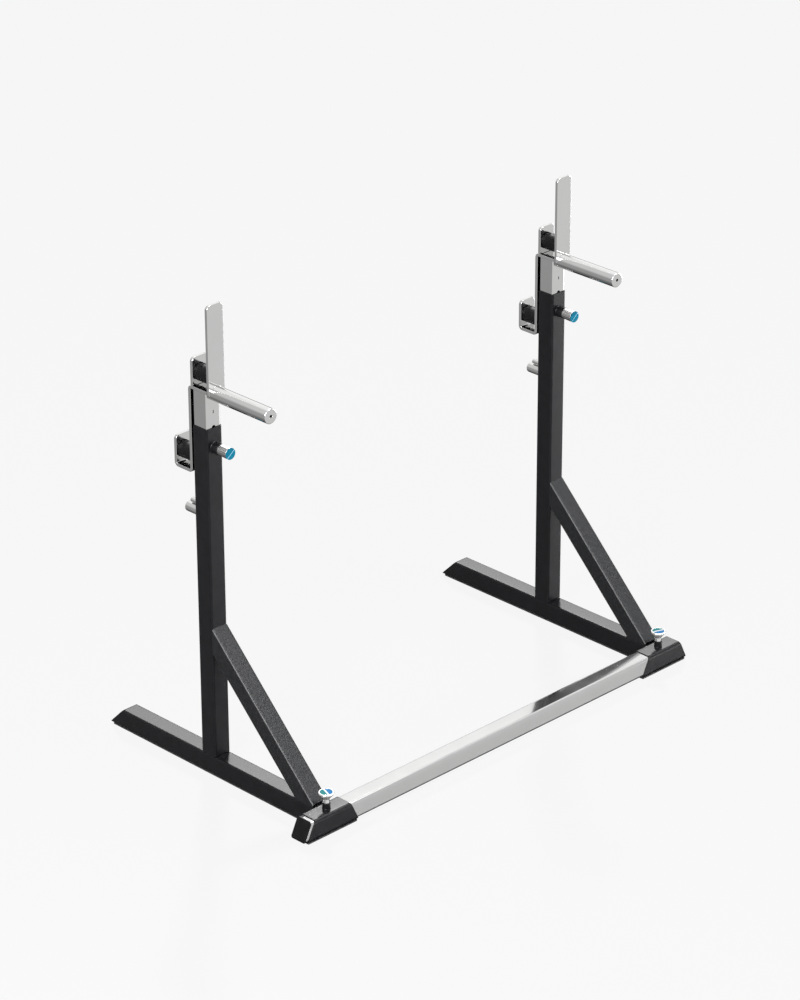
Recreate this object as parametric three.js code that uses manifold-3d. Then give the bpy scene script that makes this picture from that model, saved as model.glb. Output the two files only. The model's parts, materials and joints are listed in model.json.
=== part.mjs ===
// Squat stand: two braced uprights on long feet, tied at the floor by one square crossbar.
// Each upright holds a telescoping post that carries two hooks with rollers and a storage peg.
// Millimetres: x runs across, y from front to back, z up.
import * as THREE from 'three';
import { mergeVertices } from 'three/addons/utils/BufferGeometryUtils.js';
import Module from 'manifold-3d';

const wasm = await Module();
wasm.setup();

// Clearances
const seatGap = 0.3; // between pieces that are welded, bolted or pressed together
const runGap = 0.5; // around what slides or turns
const overrun = 5; // how far a cut passes the piece that it cuts

// Square tube of the two side frames
const tubeSize = 50;
const tubeCorner = 6;
const tubeWall = 2;

// Layout of a side frame, from the upright's axis and the floor
const stationSpacing = 1180; // from one upright's axis to the other's
const uprightSetback = 397; // from the crossbar's axis back to the upright's axis
const uprightTop = 930;
const tailReach = 345; // from the upright's axis to the middle of the foot's rear cap
const tailSlopeShare = 1; // the foot's rear end leans out below at 45 degrees
const braceAngle = Math.PI / 4; // from the vertical, in line with the floor under the crossbar

// Rubber pad under a side frame
const padThickness = 4.2;
const padInset = 3;
const padTailInset = 9; // from the foot's lower rear edge

// Plastic caps on open tube ends
const capFlange = 2; // covers the tube's end
const capDepth = 14; // inside the tube

// Sleeve that the crossbar passes through
const sleeveSize = 53.6;
const sleeveCorner = 9;
const sleeveWall = 2;
const sleeveLength = 142; // at half its height
const sleeveShift = -6.5; // from the upright's axis, across
const endSlopeShare = 0.48; // the ends of sleeve and crossbar lean out below

// Crossbar
const barCorner = 6.5;
const barWall = 2.5;
const barProud = 9.5; // stands out of the left sleeve
const barInside = 2.5; // stays inside the right sleeve

// Lock screw on the sleeve
const lockShift = 1; // from the sleeve's middle
const lockBossRadius = 10;
const lockBossHeight = 15.5;
const lockStemRadius = 5.5;
const lockNeckRadius = 9.6;
const lockNeckTop = 26; // the foot of the head's cone, above the sleeve
const lockConeHeight = 14;
const lockRimHeight = 4;
const lockHeadRadius = 19;
const lockRimWidth = 3.7;
const lockCapThickness = 1.5;

// Spring plunger near the upright's top
const plungerDrop = 50; // from the upright's top edge
const plungerBossRadius = 14;
const plungerBossLength = 21;
const plungerLip = 3; // end wall of the boss that the spring bears on
const plungerNoseRadius = 5;
const plungerCollarRadius = 7.5;
const plungerCollarLength = 2.5;
const plungerShankRadius = 4.5;
const plungerKnobBackRadius = 13.4;
const plungerKnobFrontRadius = 14.7;
const plungerKnobLength = 31.4;
const plungerCapThickness = 3;
const springWire = 1.2;
const springRadius = 6.3; // to the middle of the wire
const springTurns = 5;

// Clamp knob and stop pin behind the upright
const clampDrop = 107.5; // of its axis below the lower hook
const clampKnobRadius = 13.2;
const clampKnobLength = 50.5;
const clampKnobRound = 4.5;
const clampScrewRadius = 4;
const stopPinGap = 1.3; // above the clamp knob
const stopPinRadius = 6.2;
const stopPinLength = 36.4;
const stopPinRound = 1;

// Telescoping post
const postCorner = 4;
const postWall = 2.5;
const postLength = 872;
const postRise = 92; // of its top above the upright's
const holePitch = 50;
const holeCount = 13;
const holeRadius = 6;

// Flat bar of the hooks
const barStockWidth = 50;
const barStockThickness = 8;
const bendRound = 12; // outside of a bend
const wallRound = 11; // top corners of the hooks' walls
const hookWallHeight = 72; // above the hook's floor
const strapStandOff = 3.5; // from the upright's rear face
const strapDrop = 219; // from the upper hook's underside to the lower's
const lowerHookWidth = 47.5;
const upperHookWidth = 48.4;
const plateStandOff = 6.9; // from the post's front face
const plateHeight = 225;
const plateRound = 12;

// Storage peg
const pegRadius = 19;
const pegReach = 199.5; // from the post's front face
const pegDrop = 1; // of its axis below the hook's underside
const pegHoleRadius = 3;
const pegHoleDepth = 12;

// Rollers and the round liners beside them
const rollerRadius = 22;
const rollerLift = 9; // above the hook's floor
const linerThickness = 3;
const linerRadius = 20;
const axleRadius = 6;

// Steps of the round shapes
const roundSteps = 24;
const holeSteps = 16;
const cornerSteps = 4;
const springSteps = 8; // in each turn
const wireSides = 5;

// Sizes that follow from the ones above
const frameBottom = padThickness + seatGap;
const footTop = frameBottom + tubeSize;
const sleeveAxisHeight = frameBottom + sleeveSize / 2;
const barSize = sleeveSize - 2 * sleeveWall - 2 * seatGap;
const postSize = tubeSize - 2 * tubeWall - 2 * runGap;
const braceMeetHeight = uprightSetback / Math.tan(braceAngle);
const pinHeight = uprightTop - plungerDrop;
const hookFloorUnderside = uprightTop + postRise; // the hook strap lies on the post's top
const clampHeight = hookFloorUnderside - strapDrop - clampDrop;
const stopPinHeight = clampHeight + clampKnobRadius + stopPinGap + stopPinRadius;
const plungerPinReach = postSize / 2 + seatGap; // the nose stops just in front of the post
const hookFloor = barStockThickness + seatGap; // above the strap's underside
const rollerAxis = barStockThickness + rollerLift + rollerRadius;
const plateBack = -(postSize / 2 + plateStandOff);
const backWallFront = plateBack + upperHookWidth;
const strapLegFront = tubeSize / 2 + strapStandOff;
const strapLegBack = strapLegFront + barStockThickness;
const lowerWallFront = strapLegBack + lowerHookWidth;

const finishes = {
  paint: { color: 0x1a1a1d, roughness: 0.32, metalness: 0.1 },
  chrome: { color: 0xd4d6d8, roughness: 0.12, metalness: 1 },
  steel: { color: 0xa9abae, roughness: 0.4, metalness: 1 },
  blackPlastic: { color: 0x161617, roughness: 0.45, metalness: 0 },
  bluePlastic: { color: 0x1482aa, roughness: 0.3, metalness: 0 },
  rubber: { color: 0x141414, roughness: 0.8, metalness: 0 },
};

// Outline through its corners, counted round; a corner's third value rounds it
function outline(corners) {
  const points = [];
  corners.forEach(([x, y, round = 0], index) => {
    const here = new THREE.Vector2(x, y);
    if (round === 0) {
      points.push(here);
      return;
    }
    const before = corners[(index + corners.length - 1) % corners.length];
    const after = corners[(index + 1) % corners.length];
    const toBefore = new THREE.Vector2(before[0], before[1]).sub(here).normalize();
    const toAfter = new THREE.Vector2(after[0], after[1]).sub(here).normalize();
    const halfAngle = toBefore.angleTo(toAfter) / 2;
    const middle = toBefore.clone().add(toAfter).normalize();
    const centre = here.clone().addScaledVector(middle, round / Math.sin(halfAngle));
    const reach = round / Math.tan(halfAngle);
    const start = here.clone().addScaledVector(toBefore, reach).sub(centre).angle();
    const end = here.clone().addScaledVector(toAfter, reach).sub(centre).angle();
    const sweep = THREE.MathUtils.euclideanModulo(end - start + Math.PI, 2 * Math.PI) - Math.PI;
    for (let step = 0; step <= cornerSteps; step += 1) {
      const angle = start + sweep * step / cornerSteps;
      points.push(new THREE.Vector2(Math.cos(angle), Math.sin(angle)).multiplyScalar(round).add(centre));
    }
  });
  return new THREE.Shape(points);
}

function squareOutline(size, corner) {
  const half = size / 2;
  return outline([
    [half, half, corner],
    [-half, half, corner],
    [-half, -half, corner],
    [half, -half, corner],
  ]);
}

function tubeSection(size, corner, wall) {
  const section = squareOutline(size, corner);
  section.holes.push(squareOutline(size - 2 * wall, Math.max(corner - wall, corner / 4)));
  return section;
}

// Extrusions of an outline up, from front to back, and across
const xAxis = new THREE.Vector3(1, 0, 0);
const yAxis = new THREE.Vector3(0, 1, 0);
const zAxis = new THREE.Vector3(0, 0, 1);

function extrudeUp(shape, bottom, top) {
  const geometry = new THREE.ExtrudeGeometry(shape, { depth: top - bottom, bevelEnabled: false });
  return geometry.translate(0, 0, bottom);
}

function extrudeBack(shape, front, back) {
  const turn = new THREE.Matrix4().makeBasis(xAxis, zAxis, yAxis.clone().negate());
  return extrudeUp(shape, -back, -front).applyMatrix4(turn);
}

function extrudeAcross(shape, left, right) {
  const turn = new THREE.Matrix4().makeBasis(yAxis, zAxis, xAxis);
  return extrudeUp(shape, left, right).applyMatrix4(turn);
}

// Turned pieces, from a profile of radius and height, with their axis along y or z
function turnedBack(profile) {
  const points = profile.map(([radius, height]) => new THREE.Vector2(radius, height));
  return new THREE.LatheGeometry(points, roundSteps);
}

function turnedUp(profile) {
  return turnedBack(profile).rotateX(Math.PI / 2);
}

function ringProfile(inner, outer, from, to) {
  return [[inner, from], [outer, from], [outer, to], [inner, to], [inner, from]];
}

// Rounded outer edge at the end of a turned profile
function roundedRim(radius, end, round) {
  const points = [];
  for (let step = 0; step <= cornerSteps; step += 1) {
    const angle = Math.PI / 2 * step / cornerSteps;
    points.push([radius - round + round * Math.cos(angle), end - round + round * Math.sin(angle)]);
  }
  return points;
}

function rod(radius, front, back, steps) {
  const geometry = new THREE.CylinderGeometry(radius, radius, back - front, steps);
  return geometry.translate(0, (front + back) / 2, 0);
}

function block(x, y, z) {
  const geometry = new THREE.BoxGeometry(x[1] - x[0], y[1] - y[0], z[1] - z[0]);
  return geometry.translate((x[0] + x[1]) / 2, (y[0] + y[1]) / 2, (z[0] + z[1]) / 2);
}

// Leans the ends of a piece along one axis, by a slope that depends on the place along it
function lean(geometry, axis, slopeAt) {
  const position = geometry.attributes.position;
  for (let index = 0; index < position.count; index += 1) {
    const place = position.getComponent(index, axis);
    position.setComponent(index, axis, place - slopeAt(place) * position.getZ(index));
  }
  return geometry;
}

// Closed geometries as solids that can be joined, or cut from each other
function toSolid(geometry) {
  const bare = geometry.clone();
  bare.deleteAttribute('normal');
  bare.deleteAttribute('uv');
  const merged = mergeVertices(bare);
  return new wasm.Manifold(new wasm.Mesh({
    numProp: 3,
    vertProperties: merged.attributes.position.array,
    triVerts: new Uint32Array(merged.index.array),
  }));
}

function toGeometry(solid) {
  const mesh = solid.getMesh();
  const result = new THREE.BufferGeometry();
  result.setAttribute('position', new THREE.BufferAttribute(mesh.vertProperties, 3));
  result.setIndex(new THREE.BufferAttribute(mesh.triVerts, 1));
  return result;
}

function cut(geometry, ...tools) {
  return toGeometry(tools.reduce((solid, tool) => solid.subtract(toSolid(tool)), toSolid(geometry)));
}

function join(first, second) {
  return toGeometry(toSolid(first).add(toSolid(second)));
}

function piece(name, geometry, finish) {
  const mesh = new THREE.Mesh(geometry, new THREE.MeshStandardMaterial(finishes[finish]));
  mesh.name = name;
  return mesh;
}

function groupAt(x, y, z, ...children) {
  const group = new THREE.Group();
  group.position.set(x, y, z);
  group.add(...children);
  return group;
}

// Foot tube from the sleeve to its slanted rear end, about its own axis
const footFront = -uprightSetback + sleeveSize / 2 + seatGap;
const tubeTail = tailReach - capFlange;
const tailSlopeAt = (y) => (y > 0 ? tailSlopeShare : 0);

function baseBeam() {
  const tube = extrudeBack(tubeSection(tubeSize, tubeCorner, tubeWall), footFront, tubeTail);
  return lean(tube, 1, tailSlopeAt);
}

function baseEndCap() {
  const bore = tubeSize - 2 * tubeWall - 2 * seatGap;
  const plug = extrudeBack(squareOutline(bore, tubeCorner - tubeWall), tubeTail - capDepth, tailReach);
  const flange = extrudeBack(squareOutline(tubeSize, tubeCorner), tubeTail + seatGap, tailReach);
  return join(lean(plug, 1, tailSlopeAt), lean(flange, 1, tailSlopeAt));
}

// T-shaped pad, under the foot and the sleeve
function basePad() {
  const footHalf = tubeSize / 2 - padInset;
  const sleeveHalf = (sleeveLength + endSlopeShare * sleeveSize) / 2 - padInset;
  const barHalf = sleeveSize / 2 - padInset;
  const tail = tailReach + tailSlopeShare * tubeSize / 2 - padTailInset;
  return extrudeUp(outline([
    [sleeveShift - sleeveHalf, -uprightSetback - barHalf],
    [sleeveShift + sleeveHalf, -uprightSetback - barHalf],
    [sleeveShift + sleeveHalf, -uprightSetback + barHalf],
    [footHalf, -uprightSetback + barHalf],
    [footHalf, tail],
    [-footHalf, tail],
    [-footHalf, -uprightSetback + barHalf],
    [sleeveShift - sleeveHalf, -uprightSetback + barHalf],
  ]), 0, padThickness);
}

// Upright, with a hole in front for the plunger and one behind for the clamp screw
function upright() {
  const tube = extrudeUp(tubeSection(tubeSize, tubeCorner, tubeWall), footTop + seatGap, uprightTop);
  const wallFace = tubeSize / 2 + overrun;
  const wallInside = tubeSize / 2 - tubeWall - overrun;
  const pinHole = rod(plungerNoseRadius + runGap, -wallFace, -wallInside, holeSteps);
  const clampHole = rod(clampScrewRadius + runGap, wallInside, wallFace, holeSteps);
  return cut(tube, pinHole.translate(0, 0, pinHeight), clampHole.translate(0, 0, clampHeight));
}

// Slanted brace, cut off at the upright, the foot and the sleeve
function brace() {
  const length = braceMeetHeight / Math.cos(braceAngle) + tubeSize;
  const tube = extrudeUp(tubeSection(tubeSize, tubeCorner, tubeWall), -length, tubeSize);
  tube.rotateX(-braceAngle).translate(0, 0, braceMeetHeight);
  const side = [-tubeSize, tubeSize];
  const far = [-2 * length, 2 * length];
  return cut(
    tube,
    block(side, [-tubeSize / 2 - seatGap, far[1]], far),
    block(side, far, [far[0], footTop + seatGap]),
    block(side, [far[0], footFront], far),
  );
}

// Sleeve and crossbar share the slope of their ends, about their own axes
const endSlopeAt = (x) => Math.sign(x) * endSlopeShare;

function sleeve() {
  const section = tubeSection(sleeveSize, sleeveCorner, sleeveWall);
  const tube = lean(extrudeAcross(section, -sleeveLength / 2, sleeveLength / 2), 0, endSlopeAt);
  const screwHole = rod(lockStemRadius + runGap, 0, sleeveSize, holeSteps).rotateX(Math.PI / 2);
  return cut(tube, screwHole.translate(lockShift, 0, 0));
}

const barLength = stationSpacing + sleeveLength + barProud - barInside;
const barShift = sleeveShift - (barProud + barInside) / 2;

function crossbar() {
  const section = tubeSection(barSize, barCorner, barWall);
  return lean(extrudeAcross(section, -barLength / 2, barLength / 2), 0, endSlopeAt);
}

function crossbarCap(side) {
  const bore = barSize - 2 * barWall - 2 * seatGap;
  const end = barLength / 2;
  const plug = extrudeAcross(squareOutline(bore, barCorner - barWall), end - capDepth, end + capFlange);
  const flange = extrudeAcross(squareOutline(barSize, barCorner), end + seatGap, end + capFlange);
  const cap = join(lean(plug, 0, endSlopeAt), lean(flange, 0, endSlopeAt));
  return side < 0 ? cap.rotateZ(Math.PI) : cap;
}

// Lock screw, its boss and its cap, from the sleeve's top face
function lockBoss() {
  return turnedUp(ringProfile(lockStemRadius + runGap, lockBossRadius, seatGap, lockBossHeight));
}

const lockNeckFoot = lockBossHeight + runGap;
const lockConeTop = lockNeckTop + lockConeHeight;
const lockHeadTop = lockConeTop + lockRimHeight;
const lockRecessRadius = lockHeadRadius - lockRimWidth;
const lockRecessFloor = lockHeadTop - lockCapThickness - seatGap;

function lockScrew() {
  return turnedUp([
    [0, -sleeveWall],
    [lockStemRadius, -sleeveWall],
    [lockStemRadius, lockNeckFoot],
    [lockNeckRadius, lockNeckFoot],
    [lockNeckRadius, lockNeckTop],
    [lockHeadRadius, lockConeTop],
    [lockHeadRadius, lockHeadTop],
    [lockRecessRadius, lockHeadTop],
    [lockRecessRadius, lockRecessFloor],
    [0, lockRecessFloor],
  ]);
}

function lockCap() {
  const radius = lockRecessRadius - seatGap;
  const bottom = lockRecessFloor + seatGap;
  return turnedUp([[0, bottom], [radius, bottom], [radius, lockHeadTop], [0, lockHeadTop]]);
}

// Plunger, its boss, spring and cap, along y from the upright's axis
const bossBack = -(tubeSize / 2 + seatGap);
const bossFront = -(tubeSize / 2 + plungerBossLength);
const collarBack = bossBack - seatGap;
const collarFront = collarBack - plungerCollarLength;
const lipBack = bossFront + plungerLip;
const knobBack = bossFront - seatGap;
const knobFront = knobBack - plungerKnobLength;

function plungerBoss() {
  const bore = plungerCollarRadius + runGap;
  const lipBore = plungerShankRadius + runGap;
  return turnedBack([
    [lipBore, bossFront],
    [plungerBossRadius, bossFront],
    [plungerBossRadius, bossBack],
    [bore, bossBack],
    [bore, lipBack],
    [lipBore, lipBack],
    [lipBore, bossFront],
  ]);
}

function plungerPin() {
  return turnedBack([
    [0, knobFront],
    [plungerKnobFrontRadius, knobFront],
    [plungerKnobBackRadius, knobBack],
    [plungerShankRadius, knobBack],
    [plungerShankRadius, collarFront],
    [plungerCollarRadius, collarFront],
    [plungerCollarRadius, collarBack],
    [plungerNoseRadius, collarBack],
    [plungerNoseRadius, -plungerPinReach],
    [0, -plungerPinReach],
  ]);
}

function plungerCap() {
  const back = knobFront - seatGap;
  return turnedBack([
    [0, back - plungerCapThickness],
    [plungerKnobFrontRadius, back - plungerCapThickness],
    [plungerKnobFrontRadius, back],
    [0, back],
  ]);
}

class Helix extends THREE.Curve {
  constructor(radius, turns, from, to) {
    super();
    Object.assign(this, { radius, turns, from, to });
  }

  getPoint(share, target = new THREE.Vector3()) {
    const angle = 2 * Math.PI * this.turns * share;
    const along = THREE.MathUtils.lerp(this.from, this.to, share);
    return target.set(this.radius * Math.cos(angle), along, this.radius * Math.sin(angle));
  }
}

function plungerSpring() {
  const margin = seatGap + springWire / 2;
  const path = new Helix(springRadius, springTurns, lipBack + margin, collarFront - margin);
  const wire = [];
  for (let side = 0; side < wireSides; side += 1) {
    const angle = 2 * Math.PI * side / wireSides;
    wire.push(new THREE.Vector2(Math.cos(angle), Math.sin(angle)).multiplyScalar(springWire / 2));
  }
  const steps = springTurns * springSteps;
  return new THREE.ExtrudeGeometry(new THREE.Shape(wire), { steps, extrudePath: path });
}

// Clamp knob with its screw, and the stop pin above it
function clampKnob() {
  const back = tubeSize / 2 + clampKnobLength;
  const front = tubeSize / 2 + seatGap;
  return turnedBack([
    [0, postSize / 2 + seatGap],
    [clampScrewRadius, postSize / 2 + seatGap],
    [clampScrewRadius, front],
    [clampKnobRadius, front],
    ...roundedRim(clampKnobRadius, back, clampKnobRound),
    [0, back],
  ]);
}

function stopPin() {
  const front = tubeSize / 2 + seatGap;
  const back = tubeSize / 2 + stopPinLength;
  return turnedBack([
    [0, front],
    [stopPinRadius, front],
    ...roundedRim(stopPinRadius, back, stopPinRound),
    [0, back],
  ]);
}

// Post with a row of holes in its front wall, from the hook strap's underside down
function post() {
  const tube = extrudeUp(tubeSection(postSize, postCorner, postWall), -postLength, -seatGap);
  const holes = [];
  for (let index = 0; index < holeCount; index += 1) {
    const height = pinHeight - hookFloorUnderside + holePitch * (1 - index);
    const hole = rod(holeRadius, -postSize / 2 - overrun, -postSize / 2 + postWall + overrun, holeSteps);
    holes.push(hole.translate(0, 0, height));
  }
  return cut(tube, ...holes);
}

// Strap that lies over the post, drops behind the upright and turns up as the lower hook
function hookStrap() {
  const inside = bendRound - barStockThickness;
  const lowerFloor = -strapDrop + barStockThickness;
  const lowerWallTop = lowerFloor + hookWallHeight;
  const lowerWallBack = lowerWallFront + barStockThickness;
  const side = outline([
    [plateBack + seatGap, 0],
    [strapLegFront, 0, inside],
    [strapLegFront, -strapDrop, bendRound],
    [lowerWallBack, -strapDrop, bendRound],
    [lowerWallBack, lowerWallTop],
    [lowerWallFront, lowerWallTop],
    [lowerWallFront, lowerFloor, inside],
    [strapLegBack, lowerFloor, inside],
    [strapLegBack, barStockThickness, bendRound],
    [plateBack + seatGap, barStockThickness],
  ]);
  const strap = extrudeAcross(side, -barStockWidth / 2, barStockWidth / 2);
  return cut(strap, ...cornerTools(lowerWallFront - overrun, lowerWallBack + overrun, lowerWallTop));
}

// Tools that round the two top corners of a wall
function cornerTools(front, back, top) {
  const half = barStockWidth / 2;
  const middle = half - wallRound;
  return [-1, 1].map((side) => {
    const corner = block(
      [Math.min(side * middle, side * (half + overrun)), Math.max(side * middle, side * (half + overrun))],
      [front, back],
      [top - wallRound, top + overrun],
    );
    const kept = rod(wallRound, front - overrun, back + overrun, 2 * holeSteps);
    return cut(corner, kept.translate(side * middle, 0, top - wallRound));
  });
}

function wallOutline(bottom, top, round) {
  const half = barStockWidth / 2;
  return outline([[half, bottom], [half, top, round], [-half, top, round], [-half, bottom]]);
}

function backWall() {
  const face = wallOutline(hookFloor, barStockThickness + hookWallHeight, wallRound);
  return extrudeBack(face, backWallFront, backWallFront + barStockThickness);
}

// Tall front plate, notched at its foot for the peg
function frontPlate() {
  const front = plateBack - barStockThickness;
  const plate = extrudeBack(wallOutline(0, plateHeight, plateRound), front, plateBack);
  const notch = rod(pegRadius + seatGap, front - overrun, plateBack + overrun, 2 * holeSteps);
  return cut(plate, notch.translate(0, 0, -pegDrop));
}

// Peg through the plate's notch; behind the plate its upper half gives way to the strap
function peg() {
  const front = -(postSize / 2 + pegReach);
  const back = -(postSize / 2 + seatGap);
  const shaft = rod(pegRadius, front, back, 2 * holeSteps);
  const endHole = rod(pegHoleRadius, front - overrun, front + pegHoleDepth, holeSteps);
  const half = [-pegRadius - overrun, pegRadius + overrun];
  const strapRoom = block(half, [plateBack, back + overrun], [pegDrop - seatGap, pegRadius + overrun]);
  return cut(shaft, endHole, strapRoom).translate(0, 0, -pegDrop);
}

// Roller on its axle between two liners, in a hook of the given width
function roller(width) {
  const end = width / 2 - seatGap - linerThickness - runGap;
  return turnedBack(ringProfile(axleRadius + runGap, rollerRadius, -end, end));
}

function axle(width) {
  const end = width / 2 - seatGap;
  return turnedBack([[0, -end], [axleRadius, -end], [axleRadius, end], [0, end]]);
}

function liner(width, side) {
  const middle = side * (width / 2 - seatGap - linerThickness / 2);
  const half = linerThickness / 2;
  return turnedBack(ringProfile(axleRadius + seatGap, linerRadius, -half, half)).translate(0, middle, 0);
}

function rollerSet(prefix, width, frontLiner, rearLiner) {
  return [
    piece(`${prefix}_roller`, roller(width), 'blackPlastic'),
    piece(`${prefix}_axle`, axle(width), 'steel'),
    piece(frontLiner, liner(width, -1), 'blackPlastic'),
    piece(rearLiner, liner(width, 1), 'blackPlastic'),
  ];
}

// Everything that rises with the post, from the hook strap's underside
function carriage(name) {
  const upperMiddle = (plateBack + backWallFront) / 2;
  const lowerMiddle = (strapLegBack + lowerWallFront) / 2;
  return groupAt(
    0,
    0,
    hookFloorUnderside,
    piece(`${name}_post`, post(), 'chrome'),
    piece(`${name}_hook_strap`, hookStrap(), 'chrome'),
    piece(`${name}_back_wall`, backWall(), 'chrome'),
    piece(`${name}_front_plate`, frontPlate(), 'chrome'),
    piece(`${name}_peg`, peg(), 'chrome'),
    groupAt(
      0,
      upperMiddle,
      rollerAxis,
      ...rollerSet(`${name}_upper`, upperHookWidth, `${name}_upper_plate_liner`, `${name}_upper_wall_liner`),
    ),
    groupAt(
      0,
      lowerMiddle,
      rollerAxis - strapDrop,
      ...rollerSet(`${name}_lower`, lowerHookWidth, `${name}_lower_strap_liner`, `${name}_lower_wall_liner`),
    ),
  );
}

// One side of the stand, from its upright's axis at the floor
function sideFrame(name, x) {
  const footAxis = frameBottom + tubeSize / 2;
  return groupAt(
    x,
    uprightSetback,
    0,
    piece(`${name}_base_pad`, basePad(), 'rubber'),
    piece(`${name}_upright`, upright(), 'paint'),
    piece(`${name}_brace`, brace(), 'paint'),
    groupAt(
      0,
      0,
      footAxis,
      piece(`${name}_base_beam`, baseBeam(), 'paint'),
      piece(`${name}_base_end_cap`, baseEndCap(), 'blackPlastic'),
    ),
    groupAt(
      sleeveShift,
      -uprightSetback,
      sleeveAxisHeight,
      piece(`${name}_sleeve`, sleeve(), 'paint'),
      groupAt(
        lockShift,
        0,
        sleeveSize / 2,
        piece(`${name}_lock_boss`, lockBoss(), 'paint'),
        piece(`${name}_lock_screw`, lockScrew(), 'chrome'),
        piece(`${name}_lock_cap`, lockCap(), 'bluePlastic'),
      ),
    ),
    groupAt(
      0,
      0,
      pinHeight,
      piece(`${name}_plunger_boss`, plungerBoss(), 'paint'),
      piece(`${name}_plunger_pin`, plungerPin(), 'chrome'),
      piece(`${name}_plunger_spring`, plungerSpring(), 'steel'),
      piece(`${name}_plunger_cap`, plungerCap(), 'bluePlastic'),
    ),
    groupAt(0, 0, clampHeight, piece(`${name}_clamp_knob`, clampKnob(), 'chrome')),
    groupAt(0, 0, stopPinHeight, piece(`${name}_stop_pin`, stopPin(), 'chrome')),
    carriage(name),
  );
}

const stand = new THREE.Group();
stand.add(
  sideFrame('left', -stationSpacing / 2),
  sideFrame('right', stationSpacing / 2),
  groupAt(
    barShift,
    0,
    sleeveAxisHeight,
    piece('crossbar', crossbar(), 'chrome'),
    piece('crossbar_cap_left', crossbarCap(-1), 'blackPlastic'),
    piece('crossbar_cap_right', crossbarCap(1), 'blackPlastic'),
  ),
);

// The origin is on the floor, under the middle of the whole stand
const extent = new THREE.Box3().setFromObject(stand);
const middle = extent.getCenter(new THREE.Vector3());
stand.position.set(-middle.x, -middle.y, 0);

export default stand;
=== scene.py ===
"""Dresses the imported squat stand: fine meshes, finishes, soft studio light and the view.

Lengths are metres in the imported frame: X to the right, Y to the back, Z up. A side frame stands
at its upright's axis, and the crossbar's line lies in front of it.
"""
import json
import math

import bpy
import numpy as np
from bpy.props import FloatProperty, FloatVectorProperty, IntProperty, PointerProperty
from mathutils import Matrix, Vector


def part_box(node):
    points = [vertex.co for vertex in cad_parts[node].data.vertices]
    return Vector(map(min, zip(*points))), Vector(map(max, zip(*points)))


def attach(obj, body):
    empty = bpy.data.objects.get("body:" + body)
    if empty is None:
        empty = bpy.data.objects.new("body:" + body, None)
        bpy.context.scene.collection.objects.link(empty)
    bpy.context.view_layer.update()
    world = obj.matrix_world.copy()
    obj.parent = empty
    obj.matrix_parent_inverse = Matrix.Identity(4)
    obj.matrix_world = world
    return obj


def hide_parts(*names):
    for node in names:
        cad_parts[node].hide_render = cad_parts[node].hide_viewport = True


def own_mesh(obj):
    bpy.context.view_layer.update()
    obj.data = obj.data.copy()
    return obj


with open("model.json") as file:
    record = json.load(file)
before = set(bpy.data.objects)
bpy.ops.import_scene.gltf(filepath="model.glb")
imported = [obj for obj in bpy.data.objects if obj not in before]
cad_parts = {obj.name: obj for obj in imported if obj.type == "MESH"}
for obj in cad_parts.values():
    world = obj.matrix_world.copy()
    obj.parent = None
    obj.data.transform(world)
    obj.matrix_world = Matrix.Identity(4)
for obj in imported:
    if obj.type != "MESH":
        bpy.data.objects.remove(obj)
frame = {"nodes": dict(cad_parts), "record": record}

bl_info = {
    "name": "Squat stand",
    "version": (1, 0, 0),
    "blender": (4, 5, 0),
    "location": "View3D > Sidebar > Squat Stand",
    "description": "Builds the visible pieces of an adjustable squat stand with roller hooks",
    "category": "Add Mesh",
}

SIDES = ("left", "right")
MM = 0.001
SEAT = 0.3 * MM  # gap between two pieces, one seated on the other
NEAR_AXIS = 0.1 * MM  # radius at which a turned profile starts and ends
SHARP_EDGE = math.radians(38)
EDGE_TURN = np.linspace(0, math.pi / 2, 4)
# Where a shell's width, height and length point, for a shell that lies along each axis
ALONG_X = ((0, 1, 0), (0, 0, 1), (1, 0, 0))
ALONG_Y = ((1, 0, 0), (0, 0, 1), (0, 1, 0))
ALONG_Z = ((1, 0, 0), (0, 1, 0), (0, 0, 1))


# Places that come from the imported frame

def box(node):
    """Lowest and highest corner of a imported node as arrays."""
    low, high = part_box(node)
    return np.array(low), np.array(high)


def middle(node):
    low, high = box(node)
    return (low + high) / 2


def half_width(node):
    """Half a node's reach along X, which is its radius where it is round."""
    low, high = box(node)
    return (high[0] - low[0]) / 2


def body_of(node):
    """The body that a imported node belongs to."""
    for body, nodes in frame["record"]["behaviour"]["bodies"].items():
        if node in nodes:
            return body
    raise ValueError(f"no body holds {node}")


def points_of(mesh):
    """A mesh's points as rows of three."""
    points = np.empty(len(mesh.vertices) * 3)
    mesh.vertices.foreach_get("co", points)
    return points.reshape(-1, 3)


# Outlines

def rounded_rectangle(width, height, radius, steps=6):
    """Each corner is a quarter circle whose centre is set in from the corner by the radius."""
    turn = (np.arange(4)[:, None] + np.linspace(0, 1, steps + 1)) * math.pi / 2
    corner = np.array(((1, 1), (-1, 1), (-1, -1), (1, -1)))[:, None, :]
    centre = corner * np.array((width / 2 - radius, height / 2 - radius))
    ring = centre + radius * np.stack((np.cos(turn), np.sin(turn)), -1)
    return ring.reshape(-1, 2)


def unit(rows):
    """Each row divided by its length."""
    return rows / np.maximum(np.linalg.norm(rows, axis=-1, keepdims=True), 1e-12)


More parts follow.
